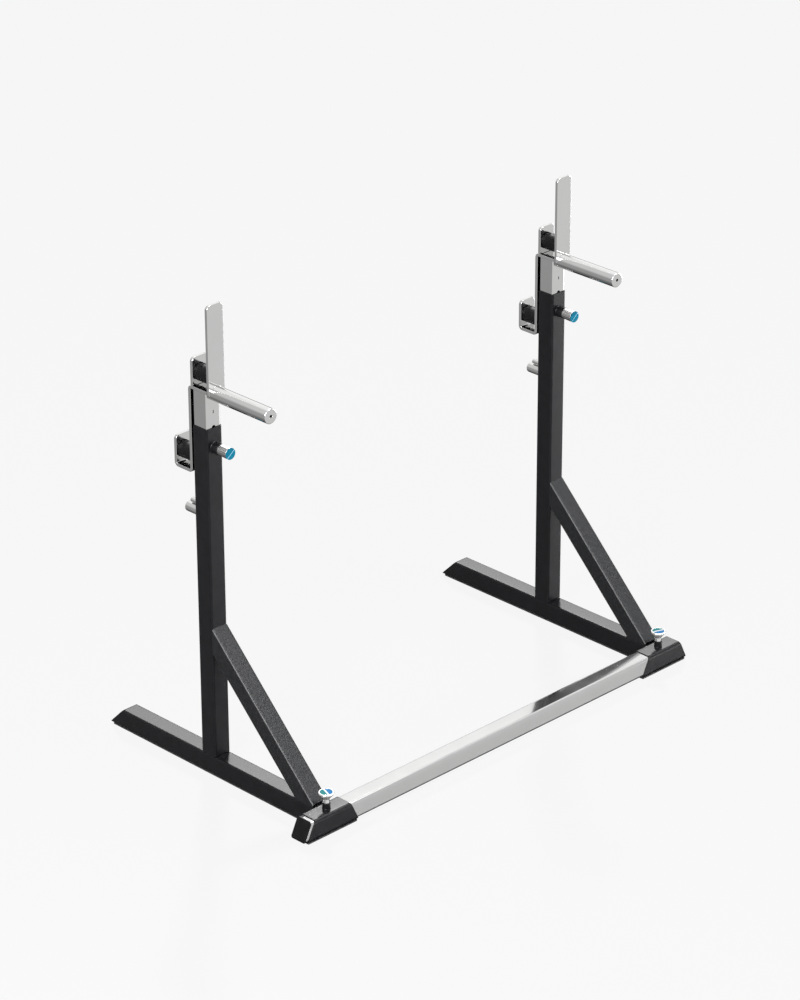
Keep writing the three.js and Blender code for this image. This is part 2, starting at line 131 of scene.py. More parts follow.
def eased(corners, radii, steps, closed=True):
    """Each corner is swapped for the circle that touches both of its sides: the corner and the
    two touching points weighted (1-t) squared, 2t(1-t) times the cosine of half the turn, and
    t squared, over their sum. An open line keeps its two ends."""
    corners = np.asarray(corners, float)
    radii = np.broadcast_to(np.asarray(radii, float), len(corners))
    back = np.roll(corners, 1, 0) - corners
    ahead = np.roll(corners, -1, 0) - corners
    shorter = np.minimum(np.linalg.norm(back, axis=-1), np.linalg.norm(ahead, axis=-1))
    back, ahead = unit(back), unit(ahead)
    turn = math.pi - np.arccos(np.clip((back * ahead).sum(-1), -1, 1))
    side_share = 0.48
    reach = np.minimum(radii * np.tan(turn / 2), side_share * shorter)
    start = (corners + back * reach[:, None])[:, None]
    end = (corners + ahead * reach[:, None])[:, None]
    t = np.linspace(0, 1, steps + 1)[None, :, None]
    pull = 2 * np.cos(turn / 2)[:, None, None] * t * (1 - t)
    weight = (1 - t) ** 2 + pull + t ** 2
    curve = ((1 - t) ** 2 * start + pull * corners[:, None] + t ** 2 * end) / weight
    if not closed:
        curve[0] = corners[0]
        curve[-1] = corners[-1]
    points = curve.reshape(-1, corners.shape[1])
    apart = np.linalg.norm(points - np.roll(points, 1, 0), axis=-1) > 1e-7
    apart[0] |= not closed
    return points[apart]


def inset(outline, depth):
    """Every point moves inwards along the mean of its two sides' normals, by the depth over the
    cosine of half the turn, so each side moves by the depth."""
    x, y = outline.T
    ahead = unit(np.roll(outline, -1, 0) - outline)
    both = ahead + np.roll(ahead, 1, 0)
    normal = np.stack((-both[:, 1], both[:, 0]), -1)
    area = np.sum(x * np.roll(y, -1) - y * np.roll(x, -1))
    share = np.maximum((normal ** 2).sum(-1, keepdims=True), 0.5)
    return outline + math.copysign(1, area) * depth * 2 * normal / share


# Shells: a shell is its points and its faces

def skin(rings, wrap=False):
    """Joins each ring of points to the next by four-sided faces. A wrapped shell joins its last
    ring to its first, as a tube's wall does, and any other is closed by a flat face at each end."""
    rows, count = rings.shape[:2]
    row = np.arange(rows if wrap else rows - 1)[:, None] * count
    here = np.arange(count)[None, :]
    beside = (here + 1) % count
    above = (row + count) % (rows * count)
    quads = np.stack((row + here, row + beside, above + beside, above + here), -1).reshape(-1, 4)
    faces = quads.tolist()
    if not wrap:
        faces.append(list(range(count - 1, -1, -1)))
        faces.append(list(range((rows - 1) * count, rows * count)))
    return rings.reshape(-1, 3), faces


def placed(points, origin, axes):
    """A point is the origin plus its three parts along the three axes."""
    return np.asarray(points) @ np.array(axes, float) + np.asarray(origin, float)


def leaning(outline, along):
    """A section's outline with a third value, how far along the line each point stands."""
    return np.column_stack((outline, np.broadcast_to(along, len(outline))))


def tube(width, corner, wall, start, end, ease=0.5 * MM, crease=None):
    """A rounded square carried along a line, with the wall inside it. The ends are flat and may
    lean: an end stands at its first number plus its second times the height in the section, and
    the far end no further than the crease, which is given alike. Each end's two edges are eased
    by a quarter circle."""
    least_corner = 0.3 * MM

    def section(inward):
        side = width - 2 * inward
        return rounded_rectangle(side, side, max(corner - inward, least_corner))

    inwards = ease * (1 - np.cos(EDGE_TURN))
    depth = ease * (1 - np.sin(EDGE_TURN))
    outer = list(zip(inwards, depth))
    inner = list(zip(wall - inwards, depth))
    rows = []
    for inward, back in inner + outer[::-1]:
        flat = section(inward)
        rows.append(leaning(flat, start[0] + start[1] * flat[:, 1] + back))
    for inward, back in outer + inner[::-1]:
        flat = section(inward)
        stops = [at + lean * flat[:, 1] - back for at, lean in (end, crease or end)]
        rows.append(leaning(flat, np.minimum(*stops)))
    return skin(np.array(rows), wrap=True)


def stack(stations, lean):
    """A solid carried along a line: at each station, given as (along, width, corner), a rounded
    square of that width, leaning by the height in the section times the lean."""
    rows = []
    for along, width, corner in stations:
        flat = rounded_rectangle(width, width, corner)
        rows.append(leaning(flat, along + lean * flat[:, 1]))
    return skin(np.array(rows))


def end_cap(start, tip, seat, outer, inner, width, corners, undercut, face, lean):
    """A plug inside a tube, from its start over its tapered tip to the seat, a flange over the
    tube's end with a softened rim, and a shallow dished face in it."""
    taper, plug, flange, rim, dish = corners
    return stack((
        (start, inner - 2 * MM, taper), (tip, inner, plug), (seat + 0.25 * MM, inner, plug),
        (seat + SEAT, width - undercut, flange), (seat + 2 * SEAT, width, flange),
        (outer - 0.9 * MM, width, flange), (outer - 0.3 * MM, width - 0.7 * MM, flange),
        (outer, width - 2.2 * MM, rim), (outer, face, dish),
        (outer - 0.5 * MM, face - 2 * MM, dish)), lean)


def slab(outline, low, high, ease):
    """An outline carried from low to high, drawn in at both faces by a quarter circle."""
    outlines = [inset(outline, depth) for depth in ease * (1 - np.sin(EDGE_TURN))]
    rise = ease * (1 - np.cos(EDGE_TURN))
    heights = np.concatenate((low + rise, high - rise[::-1]))
    rows = [leaning(ring, height) for ring, height in zip(outlines + outlines[::-1], heights)]
    return skin(np.array(rows))


def turned(profile, count):
    """A profile of (radius, along) turned around a line: at each turn a point is the radius
    times the cosine, the radius times the sine, and the along value."""
    radius, along = np.asarray(profile, float).T[..., None]
    turn = np.arange(count) / count * 2 * math.pi
    along = np.broadcast_to(along, (len(along), count))
    return np.stack((radius * np.cos(turn), radius * np.sin(turn), along), -1)


# Pieces

def flipped_outwards(points, faces):
    """Where the closed shell's volume comes out negative, every face is turned round."""
    by_size = {}
    for face in faces:
        by_size.setdefault(len(face), []).append(face)
    volume = 0.0
    for group in by_size.values():
        corner = points[np.array(group)]
        first = corner[:, :1]
        fan = np.cross(corner[:, 1:-1] - first, corner[:, 2:] - first)
        volume += (fan * first).sum()
    return [face[::-1] for face in faces] if volume < 0 else faces


def shade(thing):
    """Smooth shading that stays sharp at real edges."""
    thing.data.shade_smooth()
    thing.data.set_sharp_from_angle(angle=SHARP_EDGE)
    thing.modifiers.new("even_shading", "WEIGHTED_NORMAL").keep_sharp = True


def linked(name, data):
    """A new object of the scene that holds the data."""
    thing = bpy.data.objects.new(name, data)
    bpy.context.scene.collection.objects.link(thing)
    return thing


def piece(name, node, finish, shells, body=None):
    """Puts shells into one mesh object. It stands for its node and rides on the node's body, or
    on the given body where it stands for none."""
    all_points, all_faces, start = [], [], 0
    for points, faces in shells:
        all_points.append(points)
        all_faces += [[i + start for i in face] for face in flipped_outwards(points, faces)]
        start += len(points)
    mesh = bpy.data.meshes.new(name)
    mesh.from_pydata(np.concatenate(all_points).tolist(), [], all_faces)
    mesh.validate()
    mesh.materials.append(FINISHES[finish])
    thing = linked(name, mesh)
    shade(thing)
    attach(thing, body or body_of(node))
    if node:
        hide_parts(node)
    return thing


def lay(name, node, finish, shell, axes=ALONG_Y, origin=(0, 0, 0), body=None):
    """Makes a piece from one shell, laid along its axes from its origin."""
    points, faces = shell
    return piece(name, node, finish, [(placed(points, origin, axes), faces)], body)


def lathe(name, node, finish, spot, corners, radii, steps, count, bored=False, axes=ALONG_Y):
    """Turns a piece around a line through a spot. Its profile is a list of (radius, along)
    corners, each eased by its radius. A bored piece's profile closes on itself, and any other's
    starts and ends near the axis."""
    if not bored:
        corners = ((NEAR_AXIS, corners[0][1]), *corners, (NEAR_AXIS, corners[-1][1]))
        radii = (0, *radii, 0)
    shell = skin(turned(eased(corners, radii, steps, closed=bored), count), wrap=bored)
    return lay(name, node, finish, shell, axes, spot * (1 - np.array(axes[2])))


# Finishes

FINISHES = {}


def add_node(tree, kind, inputs, output=0, **settings):
    """Adds a shader node. Each input, by name or number, is joined to a socket or set to a
    value, and the output that is asked for comes back."""
    made = tree.nodes.new(f"ShaderNode{kind}")
    for name, value in settings.items():
        setattr(made, name, value)
    for key, value in inputs.items():
        if isinstance(value, bpy.types.NodeSocket):
            tree.links.new(value, made.inputs[key])
        else:
            made.inputs[key].default_value = value
    return made.outputs[output] if made.outputs else None


class Finish:
    """Builds one finish: the shader, and helpers that add nodes to it."""

    def __init__(self, name, slot, color, metallic, roughness, gloss=None):
        self.material = bpy.data.materials.new(name)
        self.material.use_nodes = True
        self.material["slot"] = slot
        self.material.diffuse_color = (*color, 1)
        self.tree = self.material.node_tree
        self.shader = self.tree.nodes["Principled BSDF"]
        self.shader.inputs["Base Color"].default_value = (*color, 1)
        self.shader.inputs["Metallic"].default_value = metallic
        self.shader.inputs["Roughness"].default_value = roughness
        if gloss is not None:
            self.shader.inputs["Specular IOR Level"].default_value = gloss
        self.place = add_node(self.tree, "TexCoord", {}, "Object")

    def noise(self, scale, detail, stretch=(1, 1, 1)):
        """Smooth noise in object coordinates, drawn out where an axis's stretch is below one."""
        place = add_node(self.tree, "Mapping", {"Vector": self.place, "Scale": stretch})
        return add_node(self.tree, "TexNoise",
                        {"Vector": place, "Scale": scale, "Detail": detail}, "Fac")

    def spread(self, value, low, high, start=0.3, stop=0.7):
        """Maps a value from start..stop to low..high."""
        return add_node(self.tree, "MapRange", {
            "Value": value, "From Min": start, "From Max": stop, "To Min": low, "To Max": high})

    def blend(self, share, first, second):
        """Mixes two colours by a share."""
        ends = [c if isinstance(c, bpy.types.NodeSocket) else (*c, 1) for c in (first, second)]
        return add_node(self.tree, "Mix", {0: share, 6: ends[0], 7: ends[1]}, 2, data_type="RGBA")

    def bump(self, height, distance, strength):
        """Raises the surface's shading by a height."""
        return add_node(self.tree, "Bump",
                        {"Height": height, "Distance": distance, "Strength": strength})

    def feed(self, **sockets):
        for name, value in sockets.items():
            self.tree.links.new(value, self.shader.inputs[name.replace("_", " ")])
        return self.material


def clouded(plain, tones, rough, cloud, grain=None, raised=None):
    """A finish whose tone and roughness follow one soft cloud of noise, each between two values.
    A finer noise raises its surface, by a distance and a strength."""
    finish = Finish(*plain)
    shade_of = finish.noise(*cloud)
    sockets = {"Base_Color": finish.blend(finish.spread(shade_of, 0, 1), *tones),
               "Roughness": finish.spread(shade_of, *rough)}
    if grain:
        sockets["Normal"] = finish.bump(finish.noise(*grain), *raised)
    return finish.feed(**sockets)


def scaled(color, share):
    return tuple(part * share for part in color)


def coat(name, base, gloss, swells, depth, clouds, pale):
    """Semi-gloss powder coat: soft swells a few millimetres apart, and a tone that clouds up to
    its pale share."""
    return clouded((name, "paint", base, 0.0, 0.36, gloss), (base, scaled(base, pale)),
                   (0.33, 0.39), (clouds, 3), (swells, 2), (depth, 0.5))


def black_paint(sizes):
    """The coat on the beams, the masts and the sleeves: nearly flat."""
    return coat("black_paint", tuple(sizes.paint_color), 0.15, 240, 0.06 * MM, 38, 1.4)


def pebbled_paint(sizes):
    """The thicker, greyer coat on the braces, with deeper swells."""
    return coat("pebbled_paint", tuple(sizes.brace_color), 0.26, 260, 1.1 * MM, 130, 2.2)


def plate(name, base, metallic, low, high):
    """Chrome plate: a tint and a roughness, from low to high, that cloud a little."""
    return clouded((name, "chrome", base, metallic, high), (base, scaled(base, 0.97)),
                   (low, high), (24, 3), (70, 1), (0.01 * MM, 0.3))


def bright_chrome(sizes):
    """Polished chrome on the posts, the plates, the hooks and the pegs."""
    return plate("bright_chrome", tuple(sizes.chrome_color), 1.0, 0.03, 0.05)


def bar_chrome(sizes):
    """The crossbar's chrome, a little hazy. Its tint, darker than the other chrome, is painted
    shade for the shaded floor close under the bar that it reflects.
    """
    return plate("bar_chrome", scaled(sizes.chrome_color, 0.9), 0.92, 0.07, 0.09)


def screw_chrome(sizes):
    """The lock screws' pale, hazy chrome."""
    return plate("screw_chrome", scaled(sizes.chrome_color, 1.15), 0.68, 0.12, 0.16)


def satin_metal(sizes):
    """Fine-turned metal of the plungers' grips, with a hair of tool marks around them."""
    base = scaled(sizes.chrome_color, 0.66)
    return clouded(("satin_metal", "chrome", base, 1.0, 0.34), (base, scaled(base, 0.9)),
                   (0.36, 0.46), (90, 3), (1500, 1, (0.2, 1, 0.2)), (0.02 * MM, 0.4))


def plain_steel(sizes):
    """Bright turned steel with fine tool marks."""
    return clouded(("plain_steel", "steel", (0.5, 0.5, 0.51), 1.0, 0.3),
                   ((0.46, 0.46, 0.47), (0.54, 0.54, 0.55)),
                   (0.24, 0.4), (60, 3), (2600, 1), (0.03 * MM, 0.5))


def black_nylon(sizes):
    """Smooth moulded nylon, a little satin, with the mould's fine texture."""
    return clouded(("black_nylon", "black_plastic", (0.004, 0.004, 0.0045), 0.0, 0.42, 0.12),
                   ((0.003, 0.003, 0.0035), (0.006, 0.006, 0.0065)),
                   (0.38, 0.48), (45, 3), (700, 2), (0.04 * MM, 0.4))


def matt_rubber(sizes):
    """Matt sheet rubber with a pebbled grain."""
    return clouded(("matt_rubber", "rubber", (0.01, 0.01, 0.01), 0.0, 0.75),
                   ((0.008, 0.008, 0.008), (0.016, 0.016, 0.016)),
                   (0.68, 0.85), (30, 2), (1100, 3), (0.1 * MM, 0.6))


def dark_mark(sizes):
    """Dull black, for inked numbers, and as painted shade on a thin cup lining the inside of a
    small bore.
    """
    return clouded(("dark_mark", "black_plastic", (0.003, 0.003, 0.003), 0.0, 0.7, 0.04),
                   ((0.002, 0.002, 0.002), (0.005, 0.005, 0.005)), (0.6, 0.8), (800, 2))


def cap_finish(name, first, second, light, share, softness):
    """Glossy blue with a pale bar: the bar and the two tones follow the cap's own UV map, whose
    U runs across the bar and V along it."""
    finish = Finish(name, "blue_plastic", first, 0.0, 0.14, 0.08)
    layout = add_node(finish.tree, "UVMap", {}, uv_map="face")
    across = add_node(finish.tree, "SeparateXYZ", {"Vector": layout}, "X")
    tones = finish.blend(finish.spread(across, 0, 1, -softness, softness), second, first)
    away = add_node(finish.tree, "Math", {0: across}, operation="ABSOLUTE")
    bar = finish.spread(away, 1, 0, share * 0.9, share * 1.1)
    return finish.feed(
        Base_Color=finish.blend(bar, tones, light),
        Roughness=finish.spread(finish.noise(500, 2), 0.11, 0.17),
        Normal=finish.bump(finish.noise(300, 2), 0.02 * MM, 0.3))


def lock_blue(sizes):
    """The lock screws' caps: two blues and a broad white bar."""
    return cap_finish("lock_blue", tuple(sizes.cap_color), tuple(sizes.cap_color_left),
                      (0.7, 0.74, 0.76), sizes.bar_share, 0.15)


def plunger_blue(sizes):
    """The plungers' caps: one deep blue with a hairline across it."""
    deep = tuple(sizes.plunger_color)
    return cap_finish("plunger_blue", deep, scaled(deep, 0.9), (0.3, 0.55, 0.7),
                      sizes.bar_share * 0.35, 0.5)


# Sizes and colours that a user would change

class StandSizes(bpy.types.PropertyGroup):
    tube_corner: FloatProperty(
        name="Tube corner", description="Outer corner radius of the painted square tube",
        default=0.006, min=0.001, unit="LENGTH")
    tube_wall: FloatProperty(
        name="Tube wall", description="Wall of the painted square tube",
        default=0.002, min=0.0005, unit="LENGTH")
    post_corner: FloatProperty(
        name="Post corner", description="Outer corner radius of the sliding post",
        default=0.004, min=0.001, unit="LENGTH")
    post_wall: FloatProperty(
        name="Post wall", description="Wall of the sliding post",
        default=0.0025, min=0.0005, unit="LENGTH")
    sleeve_corner: FloatProperty(
        name="Sleeve corner", description="Outer corner radius of the sleeve around the crossbar",
        default=0.009, min=0.001, unit="LENGTH")
    bar_corner: FloatProperty(
        name="Crossbar corner", description="Outer corner radius of the crossbar",
        default=0.008, min=0.001, unit="LENGTH")
    end_lean: FloatProperty(
        name="Sleeve end lean", description="How far a sleeve end leans for each unit of height",
        default=0.48, min=0, max=2)
    plate_corner: FloatProperty(
        name="Plate corner", description="Corner radius at the top of the front plate",
        default=0.012, min=0.001, unit="LENGTH")
    hook_corner: FloatProperty(
        name="Hook corner", description="Corner radius at the free ends of the hooks",
        default=0.011, min=0.001, unit="LENGTH")
    bend: FloatProperty(
        name="Strap bend", description="Radius of the strap's bends at the middle of its thickness",
        default=0.008, min=0.004, unit="LENGTH")
    hole_radius: FloatProperty(
        name="Hole radius", description="Radius of the height holes in the post",
        default=0.006, min=0.002, unit="LENGTH")
    hole_pitch: FloatProperty(
        name="Hole pitch", description="Distance between the height holes",
        default=0.05, min=0.02, unit="LENGTH")
    hole_count: IntProperty(
        name="Hole count", description="Number of height holes", default=13, min=1)
    spring_turns: IntProperty(
        name="Spring turns", description="Turns of the plunger's spring", default=5, min=2)
    plunger_travel: FloatProperty(
        name="Plunger travel", description="How far the plunger pulls out, pressing its spring",
        default=0.008, min=0.001, unit="LENGTH")
    flutes: IntProperty(
        name="Flutes", description="Number of flutes around the plunger's knob", default=16, min=6)
    bar_share: FloatProperty(
        name="Bar share", description="Half width of the caps' white bar as a share of the radius",
        default=0.15, min=0.02, max=0.5)
    paint_color: FloatVectorProperty(
        name="Paint", description="Colour of the powder coat", subtype="COLOR",
        default=(0.006, 0.006, 0.007), min=0, max=1)
    brace_color: FloatVectorProperty(
        name="Brace paint", description="Colour of the braces' powder coat", subtype="COLOR",
        default=(0.006, 0.0063, 0.007), min=0, max=1)
    chrome_color: FloatVectorProperty(
        name="Chrome", description="Colour of the chrome plate", subtype="COLOR",
        default=(0.58, 0.58, 0.575), min=0, max=1)
    cap_color: FloatVectorProperty(
        name="Cap", description="Main colour of the caps", subtype="COLOR",
        default=(0.004, 0.15, 0.38), min=0, max=1)
    cap_color_left: FloatVectorProperty(
        name="Cap, second tone", description="Colour of the caps' other half", subtype="COLOR",
        default=(0.006, 0.18, 0.19), min=0, max=1)
    plunger_color: FloatVectorProperty(
        name="Plunger cap", description="Colour of the plungers' caps", subtype="COLOR",
        default=(0.004, 0.15, 0.24), min=0, max=1)


class Build:
    """What the piece operators share: one round for each side, and one for what lies between."""
    bl_options = {"REGISTER"}

    def execute(self, context):
        sizes = context.scene.stand_sizes
        if not FINISHES:
            raise RuntimeError("run the finishes operator first")
        for side in SIDES:
            self.make(side, sizes)
        self.between(sizes)
        return {"FINISHED"}

    def between(self, sizes):
        """Nothing, unless an operator has pieces that stand once."""


class STAND_OT_finishes(bpy.types.Operator):
    """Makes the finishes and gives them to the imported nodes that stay"""
    bl_idname = "stand.finishes"
    bl_label = "Finishes"

    def execute(self, context):
        for make in (black_paint, pebbled_paint, bright_chrome, bar_chrome, screw_chrome,
                     satin_metal, plain_steel, black_nylon, matt_rubber, lock_blue,
                     plunger_blue, dark_mark):
            FINISHES[make.__name__] = make(context.scene.stand_sizes)
        steel = FINISHES["plain_steel"]
        for side in SIDES:
            for part in ("upper_axle", "lower_axle"):
                axle = frame["nodes"][f"{side}_{part}"]
                axle.data.materials.clear()
                axle.data.materials.append(steel)
        return {"FINISHED"}


class STAND_OT_feet(Build, bpy.types.Operator):
    """Rubber pads, base beams and their end caps"""
    bl_idname = "stand.feet"
    bl_label = "Feet"

    def make(self, side, sizes):
        self.pad(side)
        self.beam(side, sizes)

    def pad(self, side):
        """A T of sheet rubber: one strip under the beam, and one across under the sleeve that
        ends as far behind the sleeve's line as it starts in front of it."""
        low, high = box(f"{side}_base_pad")
        half_strip = 22 * MM
        left = middle(f"{side}_upright")[0] - half_strip
        right = left + 2 * half_strip
        front, rear = low[1], high[1]
        back = 2 * middle(f"{side}_sleeve")[1] - front
        rim, inner, ease = 3 * MM, 1 * MM, 0.7 * MM
        outline = eased((
            (low[0], front), (high[0], front), (high[0], back), (right, back), (right, rear),
            (left, rear), (left, back), (low[0], back)),
            (rim, rim, rim, inner, rim, rim, inner, rim), steps=6)
        lay(f"{side}_rubber_foot", f"{side}_base_pad", "matt_rubber",
            slab(outline, low[2], high[2], ease), ALONG_Z)

    def beam(self, side, sizes):
        """A tube along Y. Its rear end leans forwards with height, and a cap follows it."""
        low, high = box(f"{side}_base_beam")
        width = high[2] - low[2]
        half = width / 2
        centre = (middle(f"{side}_upright")[0], 0, low[2] + half)
        corner, wall = sizes.tube_corner, sizes.tube_wall
        end = high[1] - half
        lay(f"{side}_foot_tube", f"{side}_base_beam", "black_paint",
            tube(width, corner, wall, (low[1], 0), (end, -1)), ALONG_Y, centre)
        low, high = box(f"{side}_base_end_cap")
        tip, outer = low[1] + half, high[1] - half
        corners = (2 * MM, 2.2 * MM, corner, corner - 0.5 * MM, corner - 1 * MM)
        cap = end_cap(tip - 2 * wall, tip - 1 * MM, end, outer, width - 2 * wall - 2 * SEAT,
                      width, corners, undercut=0.6 * MM, face=width - 14 * MM, lean=-1)
        lay(f"{side}_foot_cap", f"{side}_base_end_cap", "black_nylon", cap, ALONG_Y, centre)


class STAND_OT_masts(Build, bpy.types.Operator):
    """Uprights and braces"""
    bl_idname = "stand.masts"
    bl_label = "Uprights and braces"

    def make(self, side, sizes):
        self.mast(side, sizes)
        self.brace(side, sizes)

    def mast(self, side, sizes):
        """A tube along Z with level ends."""
        node = f"{side}_upright"
        low, high = box(node)
        mast = tube(high[0] - low[0], sizes.tube_corner, sizes.tube_wall,
                    (low[2], 0), (high[2], 0), ease=0.7 * MM)
        lay(f"{side}_mast", node, "black_paint", mast, ALONG_Z, (*middle(node)[:2], 0))

    def brace(self, side, sizes):
        """A tube on a line that falls forwards at 45 degrees. Its top end stands upright against
        the mast, and its foot is cut level with the beam and then upright against the sleeve."""
        low, high = box(f"{side}_brace")
        width = high[0] - low[0]
        slope = math.sqrt(0.5)
        up, along = (0, -slope, slope), (0, -slope, -slope)
        top = (middle(f"{side}_upright")[0], high[1], high[2] - width / 2 / slope)
        foot, stop = (top[2] - low[2]) / slope, (top[1] - low[1]) / slope
        strut = tube(width, sizes.tube_corner, sizes.tube_wall, (0, -1), (foot, 1),
                     crease=(stop, -1))
        lay(f"{side}_strut", f"{side}_brace", "pebbled_paint", strut, ((1, 0, 0), up, along), top)


class STAND_OT_crossbar(Build, bpy.types.Operator):
    """Sleeves, the crossbar through them and its end caps"""
    bl_idname = "stand.crossbar"
    bl_label = "Crossbar and sleeves"

    def make(self, side, sizes):
        self.span(f"{side}_bar_sleeve", f"{side}_sleeve", "black_paint", sizes.sleeve_corner,
                  sizes.tube_wall, sizes)

    def between(self, sizes):
        """The crossbar, then its caps."""
        wall = 2.5 * MM
        self.span("tie_bar", "crossbar", "bar_chrome", sizes.bar_corner, wall, sizes)
        for side, way in (("left", -1), ("right", 1)):
            self.cap(side, way, wall, sizes)

    def half_length(self, node, sizes):
        """Half a leaning tube's length, measured on its middle line."""
        low, high = box(node)
        return half_width(node) - sizes.end_lean * (high[2] - low[2]) / 2

    def span(self, name, node, finish, corner, wall, sizes):
        """A tube along X whose two ends lean in with height."""
        low, high = box(node)
        half, lean, ease = self.half_length(node, sizes), sizes.end_lean, 0.6 * MM
        rings = tube(high[2] - low[2], corner, wall, (-half, lean), (half, -lean), ease)
        lay(name, node, finish, rings, ALONG_X, (low + high) / 2)

    def cap(self, side, way, wall, sizes):
        """An end cap on the bar's leaning end."""
        node = f"crossbar_cap_{side}"
        low, high = box("crossbar")
        centre, width = (low + high) / 2, high[2] - low[2]
        half = self.half_length("crossbar", sizes)
        outer = max(abs(end[0] - centre[0]) for end in box(node)) - sizes.end_lean * width / 2
        corner = sizes.bar_corner - wall
        corners = (3 * MM, 3.4 * MM, corner, corner - 0.6 * MM, corner - 2 * MM)
        cap = end_cap(outer - 15 * MM, outer - 14 * MM, half, outer, width - 2 * wall - 2 * SEAT,
                      width, corners, undercut=0.5 * MM, face=width - 15 * MM,
                      lean=-sizes.end_lean)
        lay(f"tie_bar_cap_{side}", node, "black_nylon", cap,
            ((0, 1, 0), (0, 0, 1), (way, 0, 0)), centre)


def lay_out_cap(cap, spot, across, along, radius):
    """The cap's UV map: U is how far a corner lies across the bar, and V how far along it, as
    shares of the radius."""
    mesh = cap.data
    corner = np.empty(len(mesh.loops), int)
    mesh.loops.foreach_get("vertex_index", corner)
    offset = points_of(mesh)[corner] - spot
    flat = offset @ np.array((across, along), float).T
    layer = mesh.uv_layers.new(name="face")
    layer.data.foreach_set("uv", (flat / radius).astype(np.float32).ravel())


class STAND_OT_locks(Build, bpy.types.Operator):
    """Lock screws over the sleeves, with their bosses and caps"""
    bl_idname = "stand.locks"
    bl_label = "Crossbar locks"

    def make(self, side, sizes):
        spot = middle(f"{side}_lock_cap")
        self.boss(side, spot)
        self.screw(side, spot)
        self.cap(side, spot)

    def boss(self, side, spot):
        """A turned collar, a little wider at its foot where it is welded."""
        node = f"{side}_lock_boss"
        low, high = box(node)
        radius, bore, weld = half_width(node), 6 * MM, 0.9 * MM
        lathe(f"{side}_lock_collar", node, "black_paint", spot, (
            (bore, low[2]), (radius + weld, low[2]), (radius, low[2] + 1.1 * MM),
            (radius, high[2]), (bore, high[2])),
            (0.3 * MM, 0.2 * MM, 1.5 * MM, 0.9 * MM, 0.7 * MM),
            steps=4, count=64, bored=True, axes=ALONG_Z)

    def screw(self, side, spot):
        """A stem that opens out into a cone, a rolled rim and a shallow seat for the cap."""
        node = f"{side}_lock_screw"
        low, high = box(node)
        stem, neck, rim = 5.5 * MM, 8.2 * MM, half_width(node)
        seat_rim, seat = rim - 3.7 * MM, box(f"{side}_lock_cap")[0][2] - SEAT
        foot = box(f"{side}_lock_boss")[1][2] + 0.5 * MM
        cone, shoulder = high[2] - 18 * MM, high[2] - 4 * MM
        lathe(f"{side}_lock_knob", node, "screw_chrome", spot, (
            (stem, low[2]), (stem, foot), (neck, foot), (neck, cone), (rim, shoulder),
            (rim, high[2]), (seat_rim, high[2]), (seat_rim, seat)),
            (0.8 * MM, 0.3 * MM, 0.6 * MM, 5 * MM, 1.6 * MM, 1.3 * MM, 0.5 * MM, 0.2 * MM),
            steps=5, count=96, axes=ALONG_Z)

    def cap(self, side, spot):
        """A disc whose upper face is dished by a hair, with its bar turned another way on each
        side."""
        node = f"{side}_lock_cap"
        low, high = box(node)
        radius, dish = half_width(node), high[2] - 0.05 * MM
        inlay = lathe(f"{side}_lock_inlay", node, "lock_blue", spot, (
            (radius, low[2]), (radius, high[2]), (radius / 2, dish)),
            (0.2 * MM, 0.4 * MM, 0), steps=4, count=72, axes=ALONG_Z)
        turn = math.radians(20 if side == "left" else 110)
        lay_out_cap(inlay, spot, (math.cos(turn), -math.sin(turn), 0),
                    (math.sin(turn), math.cos(turn), 0), radius)


